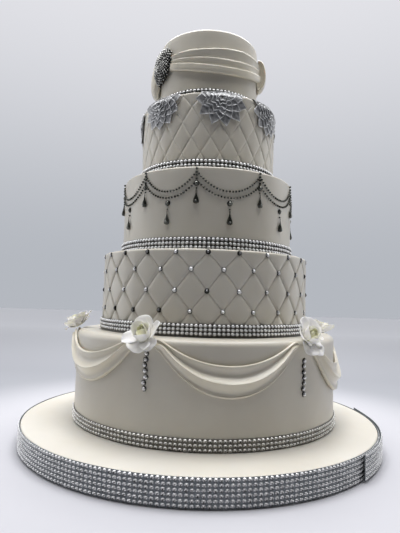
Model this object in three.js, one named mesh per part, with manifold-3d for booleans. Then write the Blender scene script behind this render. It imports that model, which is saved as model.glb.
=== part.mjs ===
// A five-tier wedding cake covered in white sugar paste, on its iced round board.
// Millimetres, +Z up. The origin is the middle of the whole cake's footprint, at the underside of the board.
// Angles round a tier are in degrees from its front (-Y) and grow towards +X.

import * as THREE from 'three';
import { mergeVertices } from 'three/addons/utils/BufferGeometryUtils.js';
import Module from 'manifold-3d';

const wasm = await Module();
wasm.setup();

// ---------------------------------------------------------------- driving dimensions

const GAP = 0.3;                                   // between pieces that touch
const QUILT_COLUMNS = 24;
const COLUMN_DEG = 360 / QUILT_COLUMNS;
const ROUND_SIDES = 2 * QUILT_COLUMNS;
const RIBBON_SIDES = 36;

const MESH_THICKNESS = 2.6;                        // rhinestone mesh, backing and stones
const BOARD_RADIUS = 252.6 - MESH_THICKNESS - GAP; // a 20 inch board, inside its ribbon
const BOARD_HEIGHT = 30;
const BOARD_EDGE = 1.5;

// x, y: the tier's axis, measured from the board's axis. top: its height above the floor.
const TIERS = [
  { radius: 188.5, x: 6.2, y: 5.2, top: 152, edge: 8, band: 15.1 },
  { radius: 152.4, x: 3.1, y: 5.2, top: 259.5, edge: 3, band: 16.2 },
  { radius: 127.1, x: 4.4, y: 5.2, top: 369, edge: 3, band: 17.2 },
  { radius: 102.1, x: 3.1, y: 5.2, top: 480, edge: 2.5, band: 17.0 },
  { radius: 76.2, x: 0.6, y: 5.2, top: 586, edge: 4, band: 16.5 },
];
// The stones of a ribbon are too fine to shape one by one, so its rows are gathered into ridges.
const BAND_RIDGES = 2;
const BOARD_RIDGES = 3;
const RIBBON_FOOT = 0.8;                           // how far the board's ribbon stays off the floor
// Where the second length of board ribbon lies over the first, and how far its ends stand off.
const OVERLAP = { from: 47, to: 102, lift: 1.6 };
const OVERLAP_STEPS = 6;

const STONE_RADIUS = 3;
const STONE_HEIGHT = 2.4;
const STONE_SIDES = 6;
const SUNK = 1.2;                                  // how deep a fused stone or bead sits in the paste

const QUILT_DEPTH = 1.8;
const TIER_2_ROWS = [183, 208, 234, 255.5];        // heights of the crossings, from the lowest row up
const TIER_2_TURN = 1.3;                           // angle of the top row's first crossing
const TIER_4_ROWS = [396, 417.5, 439, 460.5, 476];
const TIER_4_TURN = 9;

const ROSE_STEP = 60;
const FIRST_ROSE = -81;
// How each sugar rose sits on the rim: lean is its axis above the horizontal, and side, out and up shift its
// foot along the wall, away from the axis and upwards.
const ROSES = [
  { lean: 62, side: 0, out: -2, up: 4, turn: 10 },
  { lean: 42, side: -3, out: 1, up: 2, turn: 47 },
  { lean: 38, side: 8, out: 1, up: 2, turn: 150 },
  { lean: 70, side: -3, out: -6, up: 2, turn: 200 },
  { lean: 44, side: 0, out: 0, up: 2, turn: 80 },
  { lean: 50, side: 0, out: 0, up: 2, turn: 300 },
];
const ROSE_RADIUS = 20.5;
const ROSE_SEGMENTS = 15;
const BUD_RADIUS = 5.5;
// The petals' edges: how many, how far they reach out as a share of the radius, and how far they wave.
const OUTER_RUFFLE = { petals: 5, out: 0.1, up: 1.8 };
const INNER_RUFFLE = { petals: 3, out: 0.06, up: 0.6 };

const STRAND_STONES = 7;
const STRAND_PITCH = 6.6;
const STRAND_TOPS = [134, 134.6, 128, 133, 134, 132];

const SWAG_STEPS = 12;
const SWAG_INSET_DEG = 4;                          // a swag starts this far from the middle of a rose
const SWAG_POWER = 2.1;
const SWAG_TOP = 151;
const SWAG_DROPS = [-2.3, 1.5, 9, -1, 3, -2];       // how much lower than the rest each swag hangs
// The three folded edges of a swag: height at mid-span, rise towards the roses, and how far each stands out.
const SWAG_FOLDS = [
  { mid: 126, rise: 40, out: 5.4 },
  { mid: 108, rise: 67, out: 11 },
  { mid: 92.5, rise: 72, out: 6.4 },
];
const SWAG_TUCK = 4;                               // least distance between two folds under a rose
const SWAG_HEM = 3;                                // from the lowest fold down to the foot

// Angles at which the bead strings are pinned up, round the third tier.
const BEAD_PEAKS = [-78, -41.5, -6.7, 32.6, 70.3, 105.6, 140.9, 176.2, 211.4, 246.7];
const BEAD_RADIUS = 1.5;
const BEAD_STRINGS = [{ peak: 350, low: 328 }, { peak: 363, low: 337 }];
const BEAD_SAG_POWER = 2.2;
const BEAD_STEPS = 6;
const BEADED_SIDES = BEAD_PEAKS.length * BEAD_STEPS; // so that each step of a string lies on one facet
const PEAK_PENDANTS = { gem: 346, drop: 329 };
const MID_PENDANTS = { gem: 321, drop: 302.5 };
const DROP = { length: 19, neck: 0.9, radius: 2.9, sides: 5 };

const FLOWER_ANGLES = [-91, -42, 9.5, 56, 107, 158, 214];
const FLOWER_RADIUS = 36;
const FLOWER_PETALS = 9;
const FLOWER_NOTCH = 0.8;                          // radius between two tips, as a share of the tips'
const FLOWER_EDGE = 1.4;                           // thickness of the outer petals
const FLOWER_HEART = 4.6;                          // height of the middle
const LOWER_STRETCH = 1.1;                         // its lower petals hang a little longer
const FLOWER_BELOW_RIM = 9;                        // from the flower's middle up to the edge it is folded over
const LEDGE_SQUEEZE = 0.78;                        // its upper petals are pushed shorter on the ledge

const BROOCH = { angle: -62.5, z: 546, radius: 24.5, tall: 1.04, out: 11, rim: 3, sides: 12 };

const FRONT_DRAPE_STEPS = 13;
const BACK_DRAPE_STEPS = 20;
const FRONT_DRAPE = { from: -54, to: 78 };
const BACK_DRAPE = { from: 78.6, to: 293 };
// The folds of the sash from its top edge down: height at mid-span, how far each stands out, and how much it
// climbs where the sash is gathered.
const DRAPE_FOLDS = [
  { z: 554, out: 5, rise: 0 },
  { z: 541, out: 6, rise: 5 },
  { z: 528.5, out: 8, rise: 18 },
];
const DRAPE_FOOT = { z: 520.5, rise: 20 };
const DRAPE_GATHER = 2.6;                          // how late along the sash it gathers
// Where the back drape stands off as a loop: at is a share of its length.
const LOOPS = [
  { at: 0.03, folds: [{ z: 572, out: 7 }, { z: 553, out: 14.5 }, { z: 534, out: 10 }], foot: 519 },
  { at: 0.925, folds: [{ z: 572, out: 6 }, { z: 549, out: 12 }, { z: 530, out: 14.5 }], foot: 509 },
];
const LOOP_REACH = 0.05;
// Between two crests, the paste falls back to this share of the lower crest, nearer to the one below.
const VALLEY = 0.55;
const VALLEY_AT = 0.65;

// ---------------------------------------------------------------- materials

function material(color, roughness, metalness = 0) {
  return new THREE.MeshStandardMaterial({ color, roughness, metalness });
}

const ICING = [0xe6e2d6, 0.62];
const CRYSTAL = [0x8d9096, 0.22, 0.7];
const PETAL_PASTE = [0xf1ede2, 0.55];
const SILVER_PASTE = [0x8e8f98, 0.38, 0.6];

// ---------------------------------------------------------------- closed meshes

function dropSlivers(index) {
  const kept = [];
  for (let i = 0; i < index.length; i += 3) {
    const [a, b, c] = [index[i], index[i + 1], index[i + 2]];
    if (a !== b && b !== c && c !== a) {
      kept.push(a, b, c);
    }
  }
  return kept;
}

function signedVolume(position, index) {
  const corner = [new THREE.Vector3(), new THREE.Vector3(), new THREE.Vector3()];
  let sum = 0;
  for (let i = 0; i < index.length; i += 3) {
    corner.forEach((v, k) => v.fromBufferAttribute(position, index[i + k]));
    sum += corner[0].dot(corner[1].cross(corner[2])) / 6;
  }
  return sum;
}

// Merges shared corners, drops collapsed triangles and turns every face outwards.
function weld(geometry, tolerance = 1e-4) {
  const bare = geometry.clone();
  for (const name of ['normal', 'uv']) {
    bare.deleteAttribute(name);
  }
  const merged = mergeVertices(bare, tolerance);
  const index = dropSlivers(merged.index.array);
  if (signedVolume(merged.attributes.position, index) < 0) {
    index.reverse();
  }
  merged.setIndex(new THREE.Uint32BufferAttribute(index, 1));
  return merged;
}

function toSolid(geometry) {
  const merged = weld(geometry);
  const vertProperties = new Float32Array(merged.attributes.position.array);
  const triVerts = new Uint32Array(merged.index.array);
  return new wasm.Manifold(new wasm.Mesh({ numProp: 3, vertProperties, triVerts }));
}

function toGeometry(solid) {
  const mesh = solid.getMesh();
  const geometry = new THREE.BufferGeometry();
  geometry.setAttribute('position', new THREE.Float32BufferAttribute(mesh.vertProperties, 3));
  geometry.setIndex(new THREE.Uint32BufferAttribute(mesh.triVerts, 1));
  return geometry;
}

function fuse(base, extras) {
  return toGeometry(extras.reduce((whole, extra) => whole.add(toSolid(extra)), toSolid(base)));
}

function moveCorners(geometry, place) {
  const position = geometry.attributes.position;
  const corner = new THREE.Vector3();
  for (let i = 0; i < position.count; i += 1) {
    corner.fromBufferAttribute(position, i);
    place(corner);
    position.setXYZ(i, corner.x, corner.y, corner.z);
  }
  return geometry;
}

// ---------------------------------------------------------------- places round a tier

function around(angleDeg, radius, z) {
  const angle = THREE.MathUtils.degToRad(angleDeg);
  return new THREE.Vector3(radius * Math.sin(angle), -radius * Math.cos(angle), z);
}

// A lathe about +Z. Its corner columns start at startDeg, counted like every angle here.
function lathe(profile, sides, startDeg = 0) {
  const points = profile.map(([radius, z]) => new THREE.Vector2(radius, z));
  const geometry = new THREE.LatheGeometry(points, sides);
  return geometry.rotateX(Math.PI / 2).rotateZ(THREE.MathUtils.degToRad(startDeg));
}

// Turns a piece made about +Y, facing +Y, so that it faces straight out of the wall at an angle.
function onWall(geometry, angleDeg, radius, z) {
  const at = around(angleDeg, radius, z);
  return geometry
    .rotateX(Math.PI)
    .rotateZ(THREE.MathUtils.degToRad(angleDeg))
    .translate(at.x, at.y, at.z);
}

// Triangles gathered corner by corner, which weld() later joins into one closed skin.
class Skin {
  constructor() {
    this.corners = [];
  }

  // Fills a loop of corners, anticlockwise from outside, as a fan round a middle corner.
  fan(middle, loop) {
    loop.forEach((corner, i) => this.corners.push(middle, corner, loop[(i + 1) % loop.length]));
  }

  // Joins two loops of equal length by a wall of quads.
  wall(lower, upper) {
    lower.forEach((a, i) => {
      const next = (i + 1) % lower.length;
      this.corners.push(a, lower[next], upper[next], a, upper[next], upper[i]);
    });
  }

  geometry() {
    return new THREE.BufferGeometry().setFromPoints(this.corners);
  }
}

function middleOf(loop) {
  return loop.reduce((sum, corner) => sum.add(corner), new THREE.Vector3()).divideScalar(loop.length);
}

// A closed strip wrapped round a tier. section(t) lists its corners as { angle, radius, z }.
function wrappedStrip(section, steps) {
  const rings = Array.from({ length: steps + 1 }, (_, i) => section(i / steps).map(
    (corner) => around(corner.angle, corner.radius, corner.z),
  ));
  const skin = new Skin();
  for (let i = 0; i < steps; i += 1) {
    skin.wall(rings[i], rings[i + 1]);
  }
  const [first, last] = [rings[0], rings[steps]];
  skin.fan(middleOf(first), [...first].reverse());
  skin.fan(middleOf(last), last);
  return skin.geometry();
}

// ---------------------------------------------------------------- board, tiers and ribbons

// A cylinder whose top edge is eased by a chamfer, or rounded in two steps where the edge is wide.
function roundBlock(radius, height, edge, sides = ROUND_SIDES, startDeg = 0) {
  const bevel = edge * (1 - Math.SQRT1_2);
  const wide = edge > 5;
  return lathe([
    [0, 0],
    [radius, 0],
    [radius, height - edge],
    ...(wide ? [[radius - bevel, height - bevel]] : []),
    [radius - edge, height],
    [0, height],
  ], sides, startDeg);
}

// Ridges on a flat backing, as a closed ring section from the inside out.
function ribbonSection(inner, bottom, top, ridges) {
  const pitch = (top - bottom) / ridges;
  const valley = inner + MESH_THICKNESS * 0.45;
  const section = [[inner, top], [inner, bottom], [valley, bottom]];
  for (let ridge = 0; ridge < ridges; ridge += 1) {
    section.push([inner + MESH_THICKNESS, bottom + (ridge + 0.5) * pitch]);
    section.push([valley, bottom + (ridge + 1) * pitch]);
  }
  return section;
}

// A ribbon round a block of the given radius. Its flats, not its corners, keep the gap.
function ribbonRing(radius, bottom, top, ridges) {
  const inner = (radius + GAP) / Math.cos(Math.PI / RIBBON_SIDES);
  const section = ribbonSection(inner, bottom, top, ridges);
  return weld(lathe([...section, section[0]], RIBBON_SIDES));
}

// The second length of board ribbon, laid over the first, its ends standing a little off.
function boardOverlap() {
  const under = (BOARD_RADIUS + GAP) / Math.cos(Math.PI / RIBBON_SIDES) + MESH_THICKNESS;
  const span = OVERLAP.to - OVERLAP.from;
  const halfStep = THREE.MathUtils.degToRad(span / OVERLAP_STEPS / 2);
  const inner = (under + GAP) / Math.cos(halfStep);
  const section = (t) => {
    const lift = OVERLAP.lift * (2 * t - 1) ** 6;
    return ribbonSection(inner + lift, RIBBON_FOOT + lift, BOARD_HEIGHT + lift, BOARD_RIDGES).map(
      ([radius, z]) => ({ angle: OVERLAP.from + span * t, radius, z }),
    );
  };
  return weld(wrappedStrip(section, OVERLAP_STEPS));
}

// ---------------------------------------------------------------- stones, beads and pendants

function stoneOnWall(angle, radius, z) {
  const height = STONE_HEIGHT + SUNK;
  const wide = STONE_RADIUS * (height / STONE_HEIGHT);
  const stone = new THREE.ConeGeometry(wide, height, STONE_SIDES).translate(0, height / 2 - SUNK, 0);
  return onWall(stone, angle, radius, z);
}

// A pendant, widest a quarter of its length above its foot.
function dropOnWall(angle, radius, z) {
  const half = DROP.length / 2;
  const outline = [[0, half], [DROP.neck, half / 3], [DROP.radius, -half / 2], [0, -half]];
  const at = around(angle, radius, z);
  return lathe(outline, DROP.sides, angle).translate(at.x, at.y, at.z);
}

// ---------------------------------------------------------------- the five tiers

function strandedTier(tier) {
  const facetMiddle = FIRST_ROSE + 180 / ROUND_SIDES;
  const strands = [];
  for (let rose = 0; rose < ROSES.length; rose += 1) {
    for (let i = 0; i < STRAND_STONES; i += 1) {
      const z = STRAND_TOPS[rose] - i * STRAND_PITCH - tier.base;
      strands.push(stoneOnWall(FIRST_ROSE + rose * ROSE_STEP, tier.radius, z));
    }
  }
  const block = roundBlock(tier.radius, tier.height, tier.edge, ROUND_SIDES, facetMiddle);
  return fuse(block, strands);
}

// The six corners of a stone's foot, and the directions that they lie in from its middle.
const FOOT_TURNS = { right: 0, upRight: 50, upLeft: 130, left: 180, downLeft: 230, downRight: 310 };

// A place where two quilting lines cross. With a stone on it, its foot is a ring of six corners.
function crossing(tier, angle, z, stoneRadius) {
  const radius = tier.radius - QUILT_DEPTH;
  const foot = {};
  for (const [name, turn] of Object.entries(FOOT_TURNS)) {
    const direction = THREE.MathUtils.degToRad(turn);
    const aside = THREE.MathUtils.radToDeg((stoneRadius * Math.cos(direction)) / radius);
    foot[name] = around(angle + aside, radius, z + stoneRadius * Math.sin(direction));
  }
  return foot;
}

// A tier pressed into diamonds: crossings sink in, and the middle of each diamond stays proud.
function quiltedTier(tier, rows, turn, stoneRadius) {
  const levels = rows.map((z) => z - tier.base);
  const last = levels.length - 1;
  const column = (level, k) => turn + (k + ((last - level) % 2) / 2) * COLUMN_DEG;
  const at = (level, k) => crossing(tier, column(level, k), levels[level], stoneRadius);
  const rimZ = tier.height - tier.edge;
  const skin = new Skin();

  for (let k = 0; k < QUILT_COLUMNS; k += 1) {
    levels.forEach((z, level) => {
      const [left, right] = [at(level, k), at(level, k + 1)];
      const inward = (last - level) % 2;
      const over = level === last ? null : at(level + 1, k + inward);
      const under = level === 0 ? null : at(level - 1, k + inward);
      const edge = (height) => [0, 0.5, 1].map((step) => around(column(level, k + step), tier.radius, height));
      skin.fan(around(column(level, k + 0.5), tier.radius, z), [
        right.downLeft, right.left, right.upLeft,
        ...(over ? [over.downRight, over.downLeft] : edge(rimZ).reverse()),
        left.upRight, left.right, left.downRight,
        ...(under ? [under.upLeft, under.upRight] : edge(0)),
      ]);
      if (stoneRadius > 0) {
        const tip = around(column(level, k), tier.radius - QUILT_DEPTH + STONE_HEIGHT, z);
        skin.fan(tip, Object.values(left));
      }
    });
    const [top, bottom] = [at(last, k), at(0, k)];
    skin.corners.push(top.upRight, around(column(last, k), tier.radius, rimZ), top.upLeft);
    skin.corners.push(bottom.downLeft, around(column(0, k), tier.radius, 0), bottom.downRight);
  }

  const ring = (radius, z) => Array.from(
    { length: ROUND_SIDES },
    (_, i) => around(turn + i * (COLUMN_DEG / 2), radius, z),
  );
  skin.wall(ring(tier.radius, rimZ), ring(tier.radius - tier.edge, tier.height));
  skin.fan(new THREE.Vector3(0, 0, tier.height), ring(tier.radius - tier.edge, tier.height));
  skin.fan(new THREE.Vector3(), ring(tier.radius, 0).reverse());
  return weld(skin.geometry());
}

function pendants(tier, angle, heights) {
  return [
    stoneOnWall(angle, tier.radius, heights.gem - tier.base),
    dropOnWall(angle, tier.radius, heights.drop - tier.base),
  ];
}

// The stretch of string that starts at each peak, as its first angle and its span.
function beadSwag(i) {
  const from = BEAD_PEAKS[i];
  const next = BEAD_PEAKS[i + 1] ?? BEAD_PEAKS[0] + 360;
  return { from, span: next - from };
}

// A tier whose wall carries two strings of beads, each a ridge that dips between peaks.
function stringedBlock(tier) {
  const profile = [[0, 0], [tier.radius, 0]];
  for (const string of BEAD_STRINGS) {
    for (const out of [0, BEAD_RADIUS, 0]) {
      profile.push([tier.radius + out, string.low - tier.base]);
    }
  }
  profile.push([tier.radius, tier.height - tier.edge]);
  profile.push([tier.radius - tier.edge, tier.height]);
  profile.push([0, tier.height]);
  const geometry = lathe(profile, BEADED_SIDES);
  const position = geometry.attributes.position;
  for (let corner = 0; corner < position.count; corner += 1) {
    const column = Math.floor(corner / profile.length) % BEADED_SIDES;
    const step = (column % BEAD_STEPS) / BEAD_STEPS;
    const { from, span } = beadSwag(Math.floor(column / BEAD_STEPS));
    const [radius, level] = profile[corner % profile.length];
    const ring = (corner % profile.length) - 2;
    const string = BEAD_STRINGS[Math.floor(ring / 3)];
    let z = level;
    if (ring >= 0 && string) {
      const along = Math.abs(2 * step - 1);
      const depth = string.peak - string.low;
      const length = THREE.MathUtils.degToRad(span) * tier.radius;
      const slope = (2 * BEAD_SAG_POWER * depth * along ** (BEAD_SAG_POWER - 1)) / length;
      z += depth * along ** BEAD_SAG_POWER + ((ring % 3) - 1) * BEAD_RADIUS * Math.hypot(1, slope);
    }
    const at = around(from + span * step, radius, z);
    position.setXYZ(corner, at.x, at.y, at.z);
  }
  return geometry;
}

function beadedTier(tier) {
  const trims = BEAD_PEAKS.flatMap((peak, i) => [
    ...pendants(tier, peak, PEAK_PENDANTS),
    ...pendants(tier, peak + beadSwag(i).span / 2, MID_PENDANTS),
  ]);
  return fuse(stringedBlock(tier), trims);
}

// ---------------------------------------------------------------- draped paste

// The cross-section of folded paste: a crest at each fold, a valley under it, flat against the wall behind.
// Its steps round the wall are chords, so they stand off by as much as a chord of stepDeg cuts in.
// Where full is 1, the valleys are level with the crests, as in a loop.
function foldedSection(folds, foot, angle, wall, stepDeg, full = 0) {
  const back = (wall + GAP) / Math.cos(THREE.MathUtils.degToRad(stepDeg / 2));
  const corners = [{ angle, radius: back, z: foot }, { angle, radius: back, z: folds[0].z }];
  folds.forEach((fold, i) => {
    corners.push({ angle, radius: back + fold.out, z: fold.z - 1 });
    const next = folds[i + 1];
    if (next) {
      const depth = THREE.MathUtils.lerp(VALLEY, 1, full);
      const z = THREE.MathUtils.lerp(fold.z, next.z, VALLEY_AT);
      corners.push({ angle, radius: back + Math.min(fold.out, next.out) * depth, z });
    }
  });
  return corners;
}

function swag(tier, rose) {
  const start = FIRST_ROSE + rose * ROSE_STEP + SWAG_INSET_DEG;
  const span = ROSE_STEP - 2 * SWAG_INSET_DEG;
  const section = (t) => {
    const angle = start + span * t;
    const edge = Math.abs(2 * t - 1) * (span / ROSE_STEP);
    const swell = 0.35 + 0.65 * Math.sin(Math.PI * t) ** 0.7;
    const sag = SWAG_DROPS[rose] * (1 - edge ** 2);
    const limit = (drop) => SWAG_TOP - tier.base - drop;
    const folds = SWAG_FOLDS.map((fold, i) => ({
      z: Math.min(fold.mid - sag + fold.rise * edge ** SWAG_POWER - tier.base, limit(i * SWAG_TUCK)),
      out: fold.out * swell,
    }));
    const foot = folds[folds.length - 1].z - SWAG_HEM;
    return foldedSection(folds, foot, angle, tier.radius, span / SWAG_STEPS);
  };
  return weld(wrappedStrip(section, SWAG_STEPS));
}

// The sash of the top tier, gathered at both ends. At each loop its folds swell out into one bulge.
function drape(tier, range, steps, loops = []) {
  const span = range.to - range.from;
  const section = (t) => {
    const gather = Math.abs(2 * t - 1) ** DRAPE_GATHER;
    const folds = DRAPE_FOLDS.map(({ z, out, rise }) => ({ z: z + rise * gather, out }));
    let foot = DRAPE_FOOT.z + DRAPE_FOOT.rise * gather;
    let full = 0;
    for (const loop of loops) {
      const share = Math.exp(-(((t - loop.at) / LOOP_REACH) ** 4));
      folds.forEach((fold, i) => {
        fold.z = THREE.MathUtils.lerp(fold.z, loop.folds[i].z, share);
        fold.out = THREE.MathUtils.lerp(fold.out, loop.folds[i].out, share);
      });
      foot = THREE.MathUtils.lerp(foot, loop.foot, share);
      full = Math.max(full, share);
    }
    const local = folds.map(({ z, out }) => ({ z: z - tier.base, out }));
    const angle = range.from + span * t;
    return foldedSection(local, foot - tier.base, angle, tier.radius, span / steps, full);
  };
  return wrappedStrip(section, steps);
}

// ---------------------------------------------------------------- roses, silver flowers and brooch

// A sugar rose about +Z: a dish of ruffled outer petals, a cup of inner ones and a closed bud.
function rose() {
  const dish = [[0, 0], [8, 3], [ROSE_RADIUS, 10.5], [ROSE_RADIUS + 0.5, 12.2]];
  const cup = [[12.5, 8.5], [11.5, 16.5]];
  const bud = [[8, 15], [BUD_RADIUS, 20], [0, 19]];
  const geometry = lathe([...dish, ...cup, ...bud], ROSE_SEGMENTS);
  return moveCorners(geometry, (corner) => {
    const reach = Math.hypot(corner.x, corner.y);
    const turn = Math.atan2(corner.y, corner.x);
    const ruffle = reach > ROSE_RADIUS - 1 ? OUTER_RUFFLE : INNER_RUFFLE;
    const lobe = Math.cos(ruffle.petals * turn);
    corner.x *= 1 + ruffle.out * lobe;
    corner.y *= 1 + ruffle.out * lobe;
    corner.z += (reach > BUD_RADIUS + 0.5 ? ruffle.up : 0) * lobe * Math.sin(turn + 1);
  });
}

function roseOnRim(tier, place, i) {
  const angle = FIRST_ROSE + i * ROSE_STEP + THREE.MathUtils.radToDeg(place.side / tier.radius);
  const rim = tier.radius - tier.edge * (1 - Math.SQRT1_2);
  const foot = around(angle, rim + place.out + 0.8, tier.height - 1.5 + place.up);
  return weld(rose())
    .rotateZ(THREE.MathUtils.degToRad(place.turn))
    .rotateX(THREE.MathUtils.degToRad(90 - place.lean))
    .rotateZ(THREE.MathUtils.degToRad(angle))
    .translate(foot.x, foot.y, foot.z);
}

// Layers of pointed petals with a slightly hollow back: x along the wall, y up it, z out of it.
function flatFlower() {
  const inner = FLOWER_RADIUS * 0.6;
  const layers = [
    [0, 0.3],
    [FLOWER_RADIUS / 2, 0.2],
    [FLOWER_RADIUS, 0],
    [FLOWER_RADIUS, FLOWER_EDGE],
    [inner, FLOWER_HEART * 0.8],
    [0, FLOWER_HEART],
  ];
  const geometry = lathe(layers, FLOWER_PETALS * 2);
  return moveCorners(geometry, (corner) => {
    const turn = Math.atan2(corner.y, corner.x) + Math.PI / 2;
    const step = Math.round(turn / (Math.PI / FLOWER_PETALS));
    const reach = Math.hypot(corner.x, corner.y);
    const notch = step % 2 !== 0 && reach > inner - 1 ? FLOWER_NOTCH : 1;
    corner.x *= notch;
    corner.y *= notch * (corner.y < 0 ? LOWER_STRETCH : 1);
  });
}

// Folds a flat flower over the tier's top edge: it is cut along the fold, bent and sewn up again.
function flowerOverRim(tier, angle) {
  const flat = toSolid(flatFlower());
  const size = 4 * FLOWER_RADIUS;
  const clearance = GAP + 0.4;
  const degPerMm = THREE.MathUtils.radToDeg(1 / tier.radius);
  const atFold = (corner) => Math.abs(corner.y - FLOWER_BELOW_RIM) < 1e-3;
  const bend = (corner, onLedge) => {
    const beyond = atFold(corner) ? 0 : corner.y - FLOWER_BELOW_RIM;
    const out = atFold(corner) || !onLedge ? corner.z : 0;
    const up = atFold(corner) || onLedge ? corner.z : 0;
    const radius = tier.radius + clearance + out - (onLedge ? beyond * LEDGE_SQUEEZE : 0);
    const height = tier.height + clearance + up + (onLedge ? 0 : beyond);
    return around(angle + corner.x * degPerMm, radius, height);
  };
  const skin = new Skin();
  for (const onLedge of [false, true]) {
    const shift = FLOWER_BELOW_RIM + (onLedge ? size / 2 : -size / 2);
    const side = toSolid(new THREE.BoxGeometry(size, size, size).translate(0, shift, 0));
    const half = toGeometry(flat.intersect(side)).toNonIndexed();
    const corners = Array.from(
      { length: half.attributes.position.count },
      (_, i) => new THREE.Vector3().fromBufferAttribute(half.attributes.position, i),
    );
    for (let i = 0; i < corners.length; i += 3) {
      const face = corners.slice(i, i + 3);
      if (!face.every(atFold)) {
        skin.corners.push(...face.map((corner) => bend(corner, onLedge)));
      }
    }
  }
  return weld(skin.geometry(), 1e-3);
}

// A domed oval on the wall. Grown by a margin and sunk into the wall, it is the cutter that makes its room.
function brooch(tier, margin = 0, sunk = 0) {
  const wide = BROOCH.radius + margin;
  const out = BROOCH.out + margin;
  const back = GAP - sunk;
  const profile = [
    [0, back],
    [wide * 0.55, back],
    [wide, back],
    [wide, BROOCH.rim],
    [wide * 0.8, out * 0.7],
    [wide * 0.45, out * 0.93],
    [0, out],
  ];
  const degPerMm = THREE.MathUtils.radToDeg(1 / tier.radius);
  return moveCorners(lathe(profile, BROOCH.sides), (corner) => {
    const angle = BROOCH.angle + corner.x * degPerMm;
    const z = BROOCH.z - tier.base + corner.y * BROOCH.tall;
    corner.copy(around(angle, tier.radius + 0.7 + corner.z, z));
  });
}

// ---------------------------------------------------------------- putting it together

function part(name, geometry, look) {
  const mesh = new THREE.Mesh(geometry, material(...look));
  mesh.name = name;
  return mesh;
}

function tierGroup(tier) {
  const group = new THREE.Group();
  group.position.set(tier.x, tier.y, tier.base);
  return group;
}

function ribbonOf(tier) {
  return ribbonRing(tier.radius, GAP, tier.band, BAND_RIDGES);
}

TIERS.forEach((tier, i) => {
  tier.base = i === 0 ? BOARD_HEIGHT : TIERS[i - 1].top;
  tier.height = tier.top - tier.base;
});

function lowestTier(tier) {
  const group = tierGroup(tier);
  group.add(part('tier_1', strandedTier(tier), ICING));
  group.add(part('ribbon_1', ribbonOf(tier), CRYSTAL));
  ROSES.forEach((place, i) => {
    group.add(part(`swag_${i + 1}`, swag(tier, i), ICING));
    group.add(part(`rose_${i + 1}`, roseOnRim(tier, place, i), PETAL_PASTE));
  });
  return group;
}

function plainTier(tier, number, geometry) {
  const group = tierGroup(tier);
  group.add(part(`tier_${number}`, geometry, ICING));
  group.add(part(`ribbon_${number}`, ribbonOf(tier), CRYSTAL));
  return group;
}

function floweredTier(tier) {
  const group = plainTier(tier, 4, quiltedTier(tier, TIER_4_ROWS, TIER_4_TURN, 0));
  FLOWER_ANGLES.forEach((angle, i) => {
    group.add(part(`silver_flower_${i + 1}`, flowerOverRim(tier, angle), SILVER_PASTE));
  });
  return group;
}

function topTier(tier) {
  const group = plainTier(tier, 5, weld(roundBlock(tier.radius, tier.height, tier.edge)));
  group.add(part('brooch', weld(brooch(tier)), CRYSTAL));
  const cutter = toSolid(brooch(tier, 2 * GAP, 5));
  const cutBack = (geometry) => toGeometry(toSolid(geometry).subtract(cutter));
  group.add(part('drape_front', cutBack(drape(tier, FRONT_DRAPE, FRONT_DRAPE_STEPS)), ICING));
  group.add(part('drape_back', cutBack(drape(tier, BACK_DRAPE, BACK_DRAPE_STEPS, LOOPS)), ICING));
  return group;
}

const cake = new THREE.Group();
// The overlapping ribbon widens the footprint on one side, so the board stands half of that off centre.
cake.position.x = -(MESH_THICKNESS + GAP) / 2;

cake.add(part('board', weld(roundBlock(BOARD_RADIUS, BOARD_HEIGHT, BOARD_EDGE)), ICING));
cake.add(part('board_ribbon', ribbonRing(BOARD_RADIUS, RIBBON_FOOT, BOARD_HEIGHT, BOARD_RIDGES), CRYSTAL));
cake.add(part('board_ribbon_end', boardOverlap(), CRYSTAL));
cake.add(lowestTier(TIERS[0]));
cake.add(plainTier(TIERS[1], 2, quiltedTier(TIERS[1], TIER_2_ROWS, TIER_2_TURN, STONE_RADIUS)));
cake.add(plainTier(TIERS[2], 3, beadedTier(TIERS[2])));
cake.add(floweredTier(TIERS[3]));
cake.add(topTier(TIERS[4]));

export default cake;
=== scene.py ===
# A five-tier wedding cake in white sugar paste, on its iced and ribbon-wrapped board.
# Sizes in the code are in millimetres and angles in degrees. Pieces are made in metres, at their places.
# Angles round a tier count from its front (-Y) and grow towards +X.

import math
import random
from collections import namedtuple

import bmesh
import bpy
from mathutils import Matrix, Vector, noise


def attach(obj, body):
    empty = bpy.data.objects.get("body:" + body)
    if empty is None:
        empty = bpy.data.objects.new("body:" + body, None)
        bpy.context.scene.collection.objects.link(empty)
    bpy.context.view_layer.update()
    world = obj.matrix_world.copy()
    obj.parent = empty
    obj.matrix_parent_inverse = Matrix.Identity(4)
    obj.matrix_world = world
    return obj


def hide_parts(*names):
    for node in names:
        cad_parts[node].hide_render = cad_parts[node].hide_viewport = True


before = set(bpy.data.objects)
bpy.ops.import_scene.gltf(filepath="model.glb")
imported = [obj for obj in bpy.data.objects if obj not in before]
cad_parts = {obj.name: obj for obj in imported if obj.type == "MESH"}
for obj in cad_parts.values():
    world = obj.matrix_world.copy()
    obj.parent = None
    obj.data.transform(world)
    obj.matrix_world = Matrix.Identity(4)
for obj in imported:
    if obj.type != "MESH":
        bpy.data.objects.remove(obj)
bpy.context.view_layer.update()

MM = 0.001
FULL_TURN = 2 * math.pi
WELD = 2e-6                     # corners closer than this, in metres, are one corner
GAP = 0.3                       # between a solid and what is wrapped round it

# ------------------------ sizes

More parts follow.
